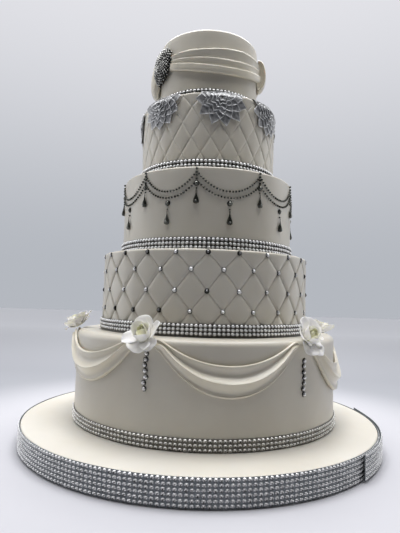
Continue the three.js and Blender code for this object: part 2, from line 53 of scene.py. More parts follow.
# A block's axis (x, y), radius, heights of its foot and top, rounded edge and the height of its ribbon.
Tier = namedtuple("Tier", "number x y radius base top edge band")
BOARD = Tier(0, -1.45, 0, 249.7, 0, 30, 2.2, 30)
TIERS = [
    Tier(1, 4.75, 5.2, 188.5, 30, 152, 8, 15.1),
    Tier(2, 1.65, 5.2, 152.4, 152, 259.5, 3, 16.2),
    Tier(3, 2.95, 5.2, 127.1, 259.5, 369, 3, 17.2),
    Tier(4, 1.65, 5.2, 102.1, 369, 480, 2.5, 17.0),
    Tier(5, -0.85, 5.2, 76.2, 480, 586, 4, 16.5),
]

# How far in and out the smoothed paste drifts.
PLAIN_UNEVEN, QUILT_UNEVEN = 0.45, 0.3

# The heights where a quilt's grooves cross, the angle of its first crossing and its depth.
Quilt = namedtuple("Quilt", "rows turn depth")
QUILT_COLUMNS = 24
COLUMN = 360 / QUILT_COLUMNS
TIER_2_QUILT = Quilt([183, 208, 234, 255.5], 1.3, 2.5)
TIER_4_QUILT = Quilt([396, 417.5, 439, 460.5, 476], 9, 1.5)

MESH_FILM = 0.8                 # the ribbon's backing, under its stones
STONE_PITCH = 5.55              # along a row
BOARD_ROWS, BAND_ROWS = 6, 3
# The dark bare film under the lowest row is partly the ribbon's own edge and partly a painted shadow line
# under the ribbon.
BARE_FILM_AND_SHADOW = [0, 1.6, 0.8, 0, 0]     # left under the lowest row of each tier's ribbon
RIBBON_FOOT = 0.8               # how far the board's ribbon stays off the table
# The second length of the board's ribbon: how far out it lies, where it starts, how far it goes round and
# how far its ends stand off.
END_OUT, END_START, END_SWEEP, END_LIFT = 3.2, 47, 55, 1.6

ROSE_STEP = 60
FIRST_ROSE = -81
# How each sugar rose sits on the rim: lean is its axis above the horizontal, side, out and up shift its
# foot, turn is its own turn, and bloom says which of BLOOMS its outer petals are.
Seat = namedtuple("Seat", "lean side out up turn bloom")
ROSES = [
    Seat(62, 0, 2, 4, 288, 1),
    Seat(44, -3, 2, 2, 0, 0),
    Seat(38, 8, 1, 2, 0, 1),
    Seat(74, -3, -6, 1.5, 200, 0),
    Seat(46, 0, 0, 2, 80, 1),
    Seat(52, 0, 0, 2, 300, 0),
]
# The strand of stones under each rose: the height of its first stone, how many there are and their pitch.
STRAND_TOPS = [134, 134.6, 128, 133, 134, 132]
STRAND_STONES = 7
STRAND_PITCH = 6.6
STONE_HEIGHT = 2.8

SWAG_DROPS = [-2.3, 1.5, 9, -1, 3, -2]      # how much lower each swag hangs than SWAG_FOLDS says
SWAG_INSET = 3.5                # degrees from a rose to where its swag begins
SWAG_LIMIT = 150.5              # no fold climbs higher
# The folds of a swag: height in its middle, how much higher it is at the roses, the power of its curve, how
# far out it stands and how far the paste under it is scooped out.
SWAG_FOLDS = [(125.5, 40, 2.1, 5.4, 1), (107.5, 67, 2.2, 10.5, 0.62), (92.5, 72, 2.1, 5.4, 0)]

# Where the bead strings of tier 3 are pinned up, and each string's height there and halfway.
BEAD_PEAKS = [-78, -41.5, -6.7, 32.6, 70.3, 105.6, 140.9, 176.2, 211.4, 246.7]
BEAD_STRINGS = [(362, 337), (350, 328.5)]
BEAD_SIZE = 1.5
BEAD_PITCH = 4.3
PEAK_BEADS = [366, 361.5, 357, 352.5]
# Heights of the round stone and of the drop, at a peak and halfway between two.
PEAK_PENDANT, LOW_PENDANT = (346.5, 329), (321.5, 302.5)
DROP_LENGTH, DROP_WIDE = 19, 4.1

FLOWER_ANGLES = [-91, -42, 9.5, 56, 107, 158, 214]
FLOWER_BELOW_RIM = 9            # how far under the rim a flower's middle is
LEDGE_SQUEEZE = 0.78            # how much of a flower's reach is left where it lies on the ledge

# The brooch's place and lean, its half width, half height and depth, and the sizes of its stones.
BROOCH_ANGLE, BROOCH_Z, BROOCH_LEAN = -62.8, 546.5, 2.5
BROOCH_WIDE, BROOCH_TALL, BROOCH_OUT = 24.3, 25.4, 11
BROOCH_STONE_COUNT, BROOCH_STONE_SIZES = 230, (1.5, 2.2)

# ------------------------ materials


def linear(code):
    """An sRGB hex colour as linear red, green, blue and alpha."""
    parts = [int(code[i:i + 2], 16) / 255 for i in (1, 3, 5)]
    return [c / 12.92 if c <= 0.04045 else ((c + 0.055) / 1.055) ** 2.4 for c in parts] + [1]


def fill(tree, node, inputs):
    """Links each input of a node that is given a socket, and sets any other."""
    for key, value in dict(inputs).items():
        if isinstance(value, bpy.types.NodeSocket):
            tree.links.new(value, node.inputs[key])
        else:
            node.inputs[key].default_value = value


def add(tree, kind, inputs=(), **settings):
    """Adds a node with its settings and inputs."""
    made = tree.nodes.new("ShaderNode" + kind)
    for key, value in settings.items():
        setattr(made, key, value)
    fill(tree, made, inputs)
    return made


def mixed(tree, share, first, second):
    """The output of a node that blends two colours, each a socket or a linear colour."""
    return add(tree, "Mix", {"Factor": share, "A": first, "B": second}, data_type="RGBA").outputs["Result"]


def surface(name):
    """A new material: its node tree, its shader and where on the piece it is."""
    made = bpy.data.materials.new(name)
    made.use_nodes = True
    tree = made.node_tree
    return made, tree, tree.nodes["Principled BSDF"], add(tree, "TexCoord").outputs["Object"]


def rolled_paste(name, pale, warm, roughness, sheen_coat):
    """Sugar paste, rolled thin and smoothed by hand: soft and waxy, with faint dents, a fine grain of
    icing sugar and a slow drift between two whites."""
    made, tree, shader, place = surface(name)
    drift = add(tree, "TexNoise", {"Vector": place, "Scale": 1 / 0.09, "Detail": 3, "Roughness": 0.5})
    blend = add(tree, "MapRange", {"Value": drift.outputs["Fac"], "From Min": 0.35, "From Max": 0.65})
    # Grains of 0.6 mm over hand-made dents of 14 mm.
    grain = add(tree, "TexNoise", {"Vector": place, "Scale": 1 / 0.0006, "Detail": 2, "Roughness": 0.6})
    dents = add(tree, "TexNoise", {"Vector": place, "Scale": 1 / 0.014, "Detail": 2, "Roughness": 0.45})
    low = add(tree, "Bump", {"Height": dents.outputs["Fac"], "Distance": 0.0006, "Strength": 0.35})
    fine = add(tree, "Bump", {"Height": grain.outputs["Fac"], "Distance": 0.00005, "Strength": 0.35,
                              "Normal": low.outputs["Normal"]})
    dull = add(tree, "MapRange", {"Value": dents.outputs["Fac"], "To Min": roughness - 0.06,
                                  "To Max": roughness + 0.08})
    fill(tree, shader, {
        "Base Color": mixed(tree, blend.outputs["Result"], linear(pale), linear(warm)),
        "Roughness": dull.outputs["Result"], "Normal": fine.outputs["Normal"], "IOR": 1.45,
        "Coat Weight": sheen_coat, "Coat Roughness": 0.4, "Subsurface Weight": 0.12,
        "Subsurface Radius": (0.004, 0.003, 0.002), "Subsurface Scale": 0.6})
    return made


def petal_paste(name, petal, heart):
    """Gum paste, rolled nearly clear and dusted at the heart: thin and satin, with fine veins."""
    made, tree, shader, place = surface(name)
    dust = add(tree, "Attribute", attribute_name="heart")
    speckle = add(tree, "TexNoise", {"Vector": place, "Scale": 1 / 0.004, "Detail": 3})
    amount = add(tree, "Math", {0: dust.outputs["Fac"], 1: speckle.outputs["Fac"]}, operation="MULTIPLY")
    more = add(tree, "Math", {0: amount.outputs["Value"], 1: 1.7}, operation="MULTIPLY", use_clamp=True)
    # Veins about 1.2 mm apart.
    veins = add(tree, "TexNoise", {"Vector": place, "Scale": 1 / 0.0012, "Detail": 1})
    raised = add(tree, "Bump", {"Height": veins.outputs["Fac"], "Distance": 0.00012, "Strength": 0.4})
    fill(tree, shader, {
        "Base Color": mixed(tree, more.outputs["Value"], linear(petal), linear(heart)),
        "Roughness": 0.42, "Normal": raised.outputs["Normal"], "Subsurface Weight": 0.3,
        "Subsurface Radius": (0.003, 0.003, 0.002), "Subsurface Scale": 0.8})
    return made


def silver_lustre(name, bright, deep):
    """Sugar paste dusted with silver lustre: metallic grey. Its colour and metal follow an attribute that
    holds the dust, heaviest on the lips, together
    with painted light: a painted highlight on the lips, and painted shade on the fill between the layers and
    over the ledge."""
    made, tree, shader, place = surface(name)
    dust_and_painted_light = add(tree, "Attribute", attribute_name="dust_and_painted_light")
    patches = add(tree, "TexNoise", {"Vector": place, "Scale": 1 / 0.005, "Detail": 3, "Roughness": 0.6})
    uneven = add(tree, "MapRange", {"Value": patches.outputs["Fac"], "From Min": 0.3, "From Max": 0.7,
                                    "To Min": -0.22, "To Max": 0.22})
    amount = add(tree, "Math", {0: dust_and_painted_light.outputs["Fac"], 1: uneven.outputs["Result"]},
                 operation="ADD", use_clamp=True).outputs["Value"]
    # Dust grains, drawn at 0.5 mm so that they show.
    dust = add(tree, "TexNoise", {"Vector": place, "Scale": 1 / 0.0005, "Detail": 1})
    raised = add(tree, "Bump", {"Height": dust.outputs["Fac"], "Distance": 0.00006, "Strength": 0.5})
    plated = add(tree, "MapRange", {"Value": amount, "To Min": 0.2, "To Max": 0.65})
    fill(tree, shader, {
        "Base Color": mixed(tree, amount, linear(deep), linear(bright)), "Roughness": 0.46,
        "Metallic": plated.outputs["Result"], "Normal": raised.outputs["Normal"],
        "Specular IOR Level": 0.25})
    return made


def plated_stones(name, bright, dark, metal, roughness):
    """Moulded stones with a metal plating or a foil behind them, satin from handling. Their colour runs from
    dark to bright by the shade attribute, which holds each stone's own tone and the highlight and shade
    painted into it; where it is painted bright the stone is less metallic, so that it stays light."""
    made, tree, shader, place = surface(name)
    shade = add(tree, "Attribute", attribute_name="shade").outputs["Fac"]
    # Haze from handling, in patches of 3 mm.
    haze = add(tree, "TexNoise", {"Vector": place, "Scale": 1 / 0.003, "Detail": 2})
    dull = add(tree, "MapRange", {"Value": haze.outputs["Fac"], "To Min": roughness * 0.6,
                                  "To Max": roughness * 1.6})
    mirror = add(tree, "MapRange", {"Value": shade, "To Min": metal, "To Max": metal * 0.7})
    fill(tree, shader, {
        "Base Color": mixed(tree, shade, linear(dark), linear(bright)),
        "Roughness": dull.outputs["Result"], "Metallic": mirror.outputs["Result"]})
    return made


def mesh_film(name, dark, light, metal):
    """The ribbon's soft plastic backing: dark between the stones, with a fine net moulded in."""
    made, tree, shader, place = surface(name)
    # Net holes about 1 mm wide.
    net = add(tree, "TexVoronoi", {"Vector": place, "Scale": 1 / 0.001}).outputs["Distance"]
    raised = add(tree, "Bump", {"Height": net, "Distance": 0.0002, "Strength": 0.6})
    fill(tree, shader, {
        "Base Color": mixed(tree, net, linear(dark), linear(light)), "Roughness": 0.42,
        "Metallic": metal, "Normal": raised.outputs["Normal"]})
    return made


def table_top(name):
    """A plain white laminate table, faintly mottled. From 0.3 m to 0.55 m out it darkens to grey, painted
    shade where the light falls off, and far behind it lightens again to meet the pale room.
    """
    made, tree, shader, place = surface(name)
    mottle = add(tree, "TexNoise", {"Vector": place, "Scale": 1 / 0.3, "Detail": 2})
    away = add(tree, "VectorMath", {0: place}, operation="LENGTH")
    # Painted shade: the table's colour greys with distance from the cake.
    near = add(tree, "MapRange", {"Value": away.outputs["Value"], "From Min": 0.3, "From Max": 0.55},
               interpolation_type="SMOOTHSTEP")
    parts = add(tree, "SeparateXYZ", {"Vector": place})
    far = add(tree, "MapRange", {"Value": parts.outputs["Y"], "From Min": 0.5, "From Max": 2.2})
    white = mixed(tree, mottle.outputs["Fac"], linear("#C6C6CC"), linear("#CDCDD2"))
    grey = mixed(tree, far.outputs["Result"], linear("#A0A2A8"), linear("#E4E6EA"))
    fill(tree, shader, {"Base Color": mixed(tree, near.outputs["Result"], white, grey), "Roughness": 0.6})
    return made


TIER_PASTE = rolled_paste("rolled_sugar_paste", "#D5D0C3", "#CFC9BB", 0.36, 0.3)
BOARD_PASTE = rolled_paste("board_sugar_paste", "#E2DED4", "#DDD8CC", 0.5, 0.08)
DRAPE_PASTE = rolled_paste("draped_sugar_paste", "#E2DCCD", "#D9D2BF", 0.3, 0.6)
ROSE_PASTE = petal_paste("gum_paste_petals", "#FBF9F3", "#DAD9AE")
FLOWER_PASTE = silver_lustre("silver_lustre_paste", "#F0F1F2", "#2A2B2D")
CRYSTALS = plated_stones("foiled_glass_stones", "#FFFFFF", "#14140F", 0.8, 0.26)
BROOCH_STONES = plated_stones("pave_glass_stones", "#CDCDC9", "#3A3A36", 0.8, 0.24)
GRAPHITE = plated_stones("graphite_glass_beads", "#7C7D76", "#24261F", 0.85, 0.16)

# ------------------------ making pieces


def around(tier, angle, radius, z):
    """A point at an angle round a tier's axis."""
    turn = math.radians(angle)
    return Vector((tier.x + radius * math.sin(turn), tier.y - radius * math.cos(turn), z)) * MM


def axis_of(tier):
    """The foot of a tier's axis."""
    return Vector((tier.x, tier.y, 0)) * MM


def between(a, b, share):
    """The value that lies a share of the way from a to b."""
    return a + (b - a) * share


def facing(tier, angle, radius, z):
    """A place on a wall for something made in millimetres: +X to its right, +Y up and +Z out."""
    turn = math.radians(angle)
    out = Vector((math.sin(turn), -math.cos(turn), 0))
    up = Vector((0, 0, 1))
    axes = Matrix((up.cross(out), up, out)).transposed().to_4x4()
    return Matrix.Translation(around(tier, angle, radius, z)) @ axes @ Matrix.Scale(MM, 4)


def as_mesh(bm, name):
    """Turns what was built into a mesh."""
    mesh = bpy.data.meshes.new(name)
    bm.to_mesh(mesh)
    bm.free()
    return mesh


def in_scene(name, data):
    """A new object in the scene."""
    made = bpy.data.objects.new(name, data)
    bpy.context.scene.collection.objects.link(made)
    return made


def piece(bm, name, material, nodes, flat=False, crease=None, smooth=0, wall=0):
    """Finishes a piece: its shading, material and modifiers, and the nodes it stands for."""
    for face in bm.faces:
        face.smooth = not flat
    if crease:
        for edge in bm.edges:
            if len(edge.link_faces) == 2 and edge.calc_face_angle(0) > math.radians(crease):
                edge.smooth = False
    mesh = as_mesh(bm, name)
    mesh.materials.append(material)
    made = in_scene(name, mesh)
    if wall:
        thick = made.modifiers.new("Thickness", "SOLIDIFY")
        thick.thickness = wall * MM
        thick.offset = 0
    if smooth:
        soft = made.modifiers.new("Smooth", "SUBSURF")
        soft.levels = soft.render_levels = smooth
    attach(made, "root")
    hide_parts(*nodes)


def turned(bm, tier, outline, steps, start=0, sweep=360):
    """Turns an outline of (radius, height) pairs about a tier's axis."""
    corners = [bm.verts.new(around(tier, start, radius, z)) for radius, z in outline]
    edges = [bm.edges.new(pair) for pair in zip(corners, corners[1:])]
    bmesh.ops.spin(bm, geom=corners + edges, cent=axis_of(tier), axis=(0, 0, 1),
                   angle=math.radians(sweep), steps=steps, use_merge=sweep == 360)
    bmesh.ops.remove_doubles(bm, verts=bm.verts, dist=WELD)


def close_up(bm):
    """Fills open ends and turns every face outwards."""
    bmesh.ops.holes_fill(bm, edges=[e for e in bm.edges if e.is_boundary], sides=0)
    bmesh.ops.recalc_face_normals(bm, faces=bm.faces)


def hand_smoothed(bm, amount, size):
    """Moves a surface in and out a little, as a hand-held smoother leaves it. What it stands on stays
    flat."""
    bm.normal_update()
    foot = min(corner.co.z for corner in bm.verts) + WELD
    for corner in bm.verts:
        if corner.co.z > foot:
            corner.co += corner.normal * amount * MM * noise.noise(corner.co / (size * MM))


def eased(radius, top, edge, segments=6):
    """The rounded edge between a wall and a top, as (radius, height) pairs."""
    turns = [math.pi / 2 * i / segments for i in range(segments + 1)]
    return [(radius - edge + edge * math.cos(a), top - edge + edge * math.sin(a)) for a in turns]


def paste_block(tier, wall_steps=10, top_steps=9):
    """A round block of cake or board under its paste."""
    wall_top = tier.top - tier.edge
    wall = [(tier.radius, tier.base + (wall_top - tier.base) * i / wall_steps) for i in range(wall_steps)]
    inner = tier.radius - tier.edge
    top = [(inner * (1 - i / top_steps), tier.top) for i in range(1, top_steps)]
    outline = [(0, tier.base), *wall, *eased(tier.radius, tier.top, tier.edge), *top, (0, tier.top)]
    bm = bmesh.new()
    turned(bm, tier, outline, 144)
    bmesh.ops.recalc_face_normals(bm, faces=bm.faces)
    return bm


def stone_form(name, sides, outline, shading):
    """One stone of radius 1 and height 1 on its flat foot, from (radius, height) pairs. shading gives how
    much lighter or darker than the stone itself a corner is."""
    bm = bmesh.new()
    corners = [bm.verts.new((radius, 0, height)) for radius, height in outline]
    edges = [bm.edges.new(pair) for pair in zip(corners, corners[1:])]
    bmesh.ops.spin(bm, geom=corners + edges, cent=(0, 0, 0), axis=(0, 0, 1), angle=FULL_TURN, steps=sides,
                   use_merge=True)
    bmesh.ops.remove_doubles(bm, verts=bm.verts, dist=WELD)
    close_up(bm)
    shade = bm.verts.layers.float.new("shade")
    for corner in bm.verts:
        corner[shade] = shading(corner.co)
    return as_mesh(bm, name)


def set_form(bm, form, place, shade):
    """Adds a copy of a small form at a place, lighter or darker by its own shade."""
    copy = form.copy()
    copy.transform(place)
    values = [min(1, max(0, own.value + shade)) for own in form.attributes["shade"].data]
    copy.attributes["shade"].data.foreach_set("value", values)
    bm.from_mesh(copy)
    bpy.data.meshes.remove(copy)


def stone_place(tier, angle, radius, z, wide, high, tilt=(0, 0)):
    """A place on a wall for a stone of a given half width and height."""
    turn = Matrix.Rotation(math.radians(tilt[0]), 4, "X") @ Matrix.Rotation(math.radians(tilt[1]), 4, "Y")
    return facing(tier, angle, radius, z) @ turn @ Matrix.Diagonal((wide, wide, high, 1))


def painted_highlight_arc(at):
    """Painted light on a dome: its colour is light round the upper side of its crown, a painted highlight,
    and dark in its middle and on its lower side, painted shade.
    """
    reach = math.hypot(at.x, at.y)
    crown = min(1, max(0, (reach - 0.2) / 0.2))
    return crown * min(1, max(0.25, 0.8 + 1.2 * at.y / max(reach, 0.1)))


def painted_highlight_spot(at):
    """Painted light on a dome: its colour is light over the upper part of its crown, a painted highlight,
    and dark round its rim and lower side, painted shade.
    """
    return max(0, 1.85 - 1.5 * math.hypot(at.x, at.y - 0.45))


def painted_glint_girdle(at):
    """Painted light on a foiled stone: its colour is dark round its edge, painted shade, and light in the
    middle, a painted glint in place of what its facets reflect.
    """
    return 0.8 - 1.8 * math.hypot(at.x, at.y) ** 2


# ------------------------ ribbons of stones


def ribbon(name, tier, inner, bottom, top, rows, finish, border=0, sweep=360, start=0, lift=0):
    """A mesh ribbon round a block: its film, and rows of plated stones on it. border is the bare dark film
    under the lowest row, which also stands in for the shadow under the ribbon, and lift makes the two ends
    of an open ribbon stand off."""
    draw = random.Random(name)
    film = inner + MESH_FILM
    outline = [(inner, bottom), (film, bottom), (film, top), (inner, top), (inner, bottom)]
    bm = bmesh.new()
    turned(bm, tier, outline, max(8, round(sweep * 0.4)), start, sweep)
    close_up(bm)
    stand_off(bm, tier, start, sweep, lift)
    piece(bm, name + "_film", finish.film, [name], crease=50)

    pitch = (top - bottom - border) / rows
    columns = round(math.radians(sweep) * film / STONE_PITCH)
    step = sweep / columns
    across = math.radians(step) * film / pitch
    bm = bmesh.new()
    for row in range(rows):
        place = stone_place(tier, start + step / 2, film - 0.1, bottom + border + (row + 0.5) * pitch,
                            pitch * finish.wide, finish.high)
        set_form(bm, finish.form, place @ Matrix.Scale(across, 4, (1, 0, 0)), 0)
    per_stone = len(bm.verts) // rows
    bmesh.ops.spin(bm, geom=bm.verts[:] + bm.edges[:] + bm.faces[:], cent=axis_of(tier), axis=(0, 0, 1),
                   angle=math.radians(sweep - step), steps=columns - 1, use_duplicate=True)
    shade = bm.verts.layers.float["shade"]
    for index, corner in enumerate(bm.verts):
        if index % per_stone == 0:
            value = draw.uniform(-0.12, 0.15)
            nudge = Vector([draw.uniform(-0.15, 0.15) * MM for _ in range(3)])
        corner[shade] = min(1, max(0, corner[shade] + value))
        corner.co += nudge
    stand_off(bm, tier, start, sweep, lift)
    piece(bm, name + "_stones", finish.stones, [name])


def stand_off(bm, tier, start, sweep, lift):
    """Bends both ends of an open ribbon outwards and a little up."""
    if not lift:
        return
    axis = axis_of(tier)
    for corner in bm.verts:
        out = corner.co - axis
        out.z = 0
        angle = math.degrees(math.atan2(out.x, -out.y)) % 360
        away = ((angle - start) / sweep * 2 - 1) ** 6 * lift * MM
        corner.co += out.normalized() * away + Vector((0, 0, away * 0.9))


# The shading of these three stone forms paints highlight and shade into each stone.
ARC_DOME = stone_form("arc_dome", 10, [(1, 0), (0.97, 0.1), (0.4, 0.88), (0.26, 0.97), (0, 1)], painted_highlight_arc)
SPOT_DOME = stone_form("spot_dome", 10, [(1, 0), (0.92, 0.42), (0.66, 0.78), (0.32, 0.96), (0, 1)],
                       painted_highlight_spot)
GEM = stone_form("gem", 8, [(1, 0), (0.94, 0.3), (0.62, 0.7), (0.25, 1), (0, 1)], painted_glint_girdle)

# A ribbon's film and stones. wide is half a stone's width as a share of its row, and high its height.
MeshFinish = namedtuple("MeshFinish", "film stones form wide high")
BOARD_MESH = MeshFinish(mesh_film("vinyl_mesh_film", "#54595C", "#83898D", 0.35),
                        plated_stones("plated_abs_domes", "#FFFFFF", "#08090A", 0.95, 0.24),
                        ARC_DOME, 0.45, 1.6)
LOW_MESH = MeshFinish(mesh_film("vinyl_band_film", "#54534D", "#807E76", 0.25),
                      plated_stones("plated_abs_band_domes", "#FCFAF4", "#12110D", 0.95, 0.26),
                      ARC_DOME, 0.45, 1.6)
BAND_MESH = MeshFinish(mesh_film("dark_vinyl_band_film", "#33332F", "#5A5953", 0.3),
                       plated_stones("bright_plated_band_domes", "#FFFFFF", "#0A0A08", 0.75, 0.28),
                       SPOT_DOME, 0.49, 1.75)

# ------------------------ board

board = paste_block(BOARD, 4, 14)
hand_smoothed(board, 0.5, 60)
piece(board, "board_icing", BOARD_PASTE, ["board"])
ribbon("board_ribbon", BOARD, BOARD.radius + GAP, RIBBON_FOOT, BOARD.top, BOARD_ROWS,
       BOARD_MESH)
ribbon("board_ribbon_end", BOARD, BOARD.radius + END_OUT, RIBBON_FOOT, BOARD.top, BOARD_ROWS,
       BOARD_MESH, sweep=END_SWEEP, start=END_START, lift=END_LIFT)

# ------------------------ tiers


def quilted_block(tier, quilt):
    """A tier pressed into diamonds. Each diamond is a grid whose sides lie in the grooves, and the
    grooves end at the eased rim."""
    rows = quilt.rows
    cells = 12
    low, high = rows[1] - rows[0], rows[-1] - rows[-2]
    levels = [rows[0] - 2 * low, rows[0] - low, *rows, rows[-1] + high, rows[-1] + 2 * high]
    last_row = len(levels) - 3
    side = math.hypot(math.radians(COLUMN / 2) * tier.radius, low)
    across = 2 * math.radians(COLUMN / 2) * tier.radius * low / side
    bm = bmesh.new()
    for level in range(1, len(levels) - 1):
        shifted = (last_row - level) % 2
        for column in range(QUILT_COLUMNS):
            centre = quilt.turn + (column + 0.5 + shifted / 2) * COLUMN
            grid = bmesh.ops.create_grid(bm, x_segments=cells, y_segments=cells, size=0.5)
            for corner in grid["verts"]:
                # Grid lines gather towards the grooves.
                a, b = [0.5 - 0.5 * math.cos(math.pi * (c + 0.5)) for c in corner.co[:2]]
                height = level - 1 + a + b
                step = min(int(height), len(levels) - 2)
                z = levels[step] + (levels[step + 1] - levels[step]) * (height - step)
                off = min(a, 1 - a, b, 1 - b) * across
                # A narrow groove in a wide, shallow hollow.
                groove = 0.62 * math.exp(-((off / 1.0) ** 1.4)) + 0.38 * math.exp(-((off / 6.0) ** 1.4))
                corner.co = around(tier, centre + (a - b) * COLUMN / 2,
                                   tier.radius - quilt.depth * groove, z)
    bmesh.ops.remove_doubles(bm, verts=bm.verts, dist=WELD)
    rim = tier.top - tier.edge
    for z, cut in ((tier.base, "clear_inner"), (rim, "clear_outer")):
        bmesh.ops.bisect_plane(bm, geom=bm.verts[:] + bm.edges[:] + bm.faces[:], dist=WELD,
                               plane_co=(0, 0, z * MM), plane_no=(0, 0, 1), **{cut: True})
    ends = [e for e in bm.edges if e.is_boundary]
    upper = [e for e in ends if e.verts[0].co.z > (tier.base + 1) * MM]
    lower = [e for e in ends if e not in set(upper)]
    hub = Matrix.Translation(-axis_of(tier))
    radius = tier.radius
    inner = tier.radius - tier.edge
    tops = [(inner * (1 - i / 8), tier.top) for i in range(1, 9)]
    z = rim
    for new_radius, new_z in eased(tier.radius, tier.top, tier.edge, 4)[1:] + tops:
        upper, added = pulled(bm, upper)
        share = max(new_radius, 0.001) / radius
        bmesh.ops.scale(bm, vec=(share, share, 1), space=hub, verts=added)
        bmesh.ops.translate(bm, vec=(0, 0, (new_z - z) * MM), verts=added)
        radius, z = max(new_radius, 0.001), new_z
    lower, added = pulled(bm, lower)
    bmesh.ops.scale(bm, vec=(0, 0, 1), space=hub, verts=added)
    bmesh.ops.remove_doubles(bm, verts=bm.verts, dist=WELD)
    bmesh.ops.recalc_face_normals(bm, faces=bm.faces)
    return bm


def pulled(bm, edges):
    """Extrudes a loop of edges, and gives the new loop and its corners."""
    made = bmesh.ops.extrude_edge_only(bm, edges=edges)["geom"]
    return ([e for e in made if isinstance(e, bmesh.types.BMEdge) and e.is_boundary],
            [v for v in made if isinstance(v, bmesh.types.BMVert)])


def tier_piece(bm, tier, unevenness):
    hand_smoothed(bm, unevenness, 45)
    name = f"tier_{tier.number}"
    piece(bm, name + "_icing", TIER_PASTE, [name])


for tier in (TIERS[0], TIERS[2], TIERS[4]):
    tier_piece(paste_block(tier, 14), tier, PLAIN_UNEVEN)
for tier, quilt in ((TIERS[1], TIER_2_QUILT), (TIERS[3], TIER_4_QUILT)):
    tier_piece(quilted_block(tier, quilt), tier, QUILT_UNEVEN)

for tier, border in zip(TIERS, BARE_FILM_AND_SHADOW):
    ribbon(f"ribbon_{tier.number}", tier, tier.radius + GAP, tier.base + GAP, tier.base + tier.band,
           BAND_ROWS, LOW_MESH if tier.number == 1 else BAND_MESH, border)

# ------------------------ stones of tiers 1 and 2

draw = random.Random(5)


def loose_stone(bm, tier, angle, radius, z, wide, blind=0.0):
    """A stone set by hand: its place and tilt vary a little. blind is the share of stones that have lost
    their foil."""
    place = stone_place(tier, angle + draw.uniform(-0.15, 0.15), radius, z + draw.uniform(-0.35, 0.35),
                        wide * draw.uniform(0.94, 1.05), STONE_HEIGHT,
                        (draw.uniform(-7, 7), draw.uniform(-7, 7)))
    set_form(bm, GEM, place, -0.45 if draw.random() < blind else draw.uniform(0.15, 0.6))


strands = bmesh.new()
for rose in range(len(ROSES)):
    for i in range(STRAND_STONES):
        sway = 0.35 * math.sin(i * 1.9 + rose)
        loose_stone(strands, TIERS[0], FIRST_ROSE + rose * ROSE_STEP + sway, TIERS[0].radius,
                    STRAND_TOPS[rose] - i * STRAND_PITCH, 3.35)
piece(strands, "tier_1_strands", CRYSTALS, ["tier_1"], flat=True)

studs = bmesh.new()
for row, z in enumerate(TIER_2_QUILT.rows):
    shifted = (len(TIER_2_QUILT.rows) - 1 - row) % 2
    for column in range(QUILT_COLUMNS):
        loose_stone(studs, TIERS[1], TIER_2_QUILT.turn + (column + shifted / 2) * COLUMN,
                    TIERS[1].radius - 1.6, z, 3.4, blind=0.15)
piece(studs, "tier_2_stones", CRYSTALS, ["tier_2"], flat=True)

# ------------------------ bead strings of tier 3


def bead_form():
    """A round bead of radius 1."""
    bm = bmesh.new()
    bmesh.ops.create_uvsphere(bm, u_segments=8, v_segments=6, radius=1)
    bm.verts.layers.float.new("shade")
    return as_mesh(bm, "bead_form")


def drop_form(length, wide):
    """A pear-shaped pendant on a thin neck, about +Y, flattened towards the wall."""
    outline = [(0, 0.5), (0.12, 0.49), (0.14, 0.28), (0.38, 0.06), (0.76, -0.14), (1, -0.32), (0.84, -0.44),
               (0.42, -0.49), (0, -0.5)]
    bm = bmesh.new()
    corners = [bm.verts.new((r * wide, y * length, 0)) for r, y in outline]
    edges = [bm.edges.new(pair) for pair in zip(corners, corners[1:])]
    bmesh.ops.spin(bm, geom=corners + edges, cent=(0, 0, 0), axis=(0, 1, 0), angle=FULL_TURN, steps=8,
                   use_merge=True)
    bmesh.ops.remove_doubles(bm, verts=bm.verts, dist=0.01)
    bmesh.ops.scale(bm, vec=(1, 1, 0.7), verts=bm.verts)
    bmesh.ops.recalc_face_normals(bm, faces=bm.faces)
    bm.verts.layers.float.new("shade")
    return as_mesh(bm, "drop_form")


BEAD = bead_form()
DROP = drop_form(DROP_LENGTH, DROP_WIDE)


def set_bead(bm, tier, angle, z, size=BEAD_SIZE):
    """Adds a bead, of a grey of its own, to a wall."""
    place = facing(tier, angle, tier.radius + size * 0.6, z) @ Matrix.Scale(size, 4)
    set_form(bm, BEAD, place, draw.betavariate(1.3, 2.5))


def bead_string(bm, tier, start, span, pinned, low):
    """Beads at even distances along one sagging string between two peaks."""
    arc = math.radians(span) * tier.radius
    samples = 240
    last, since = None, 0
    for i in range(samples + 1):
        t = i / samples
        z = low + (pinned - low) * abs(2 * t - 1) ** 2.2
        if last is not None:
            since += math.hypot(arc / samples, z - last)
        last = z
        if since >= BEAD_PITCH:
            since -= BEAD_PITCH
            set_bead(bm, tier, start + t * span, z)


beads, jewels = bmesh.new(), bmesh.new()
wall = TIERS[2]
for peak, after in zip(BEAD_PEAKS, BEAD_PEAKS[1:] + [BEAD_PEAKS[0] + 360]):
    span = after - peak
    for pinned, low in BEAD_STRINGS:
        bead_string(beads, wall, peak, span, pinned, low)
    for z in PEAK_BEADS:
        set_bead(beads, wall, peak, z, 1.7)
    for angle, (gem_z, drop_z) in ((peak, PEAK_PENDANT), (peak + span / 2, LOW_PENDANT)):
        set_form(jewels, GEM, stone_place(wall, angle, wall.radius, gem_z, 3.9, 2.8), draw.uniform(0.1, 0.5))
        set_form(jewels, DROP, facing(wall, angle, wall.radius + 1.6, drop_z), draw.uniform(0.25, 0.6))
        set_form(jewels, GEM, stone_place(wall, angle, wall.radius + 2.9, drop_z - 6, 2.1, 1.6), 0.7)
        set_bead(beads, wall, angle, drop_z + 11, 1.2)
piece(beads, "tier_3_beads", GRAPHITE, ["tier_3"])
piece(jewels, "tier_3_pendants", GRAPHITE, ["tier_3"], flat=True)

# ------------------------ draped paste


Fold = namedtuple("Fold", "z out scoop")
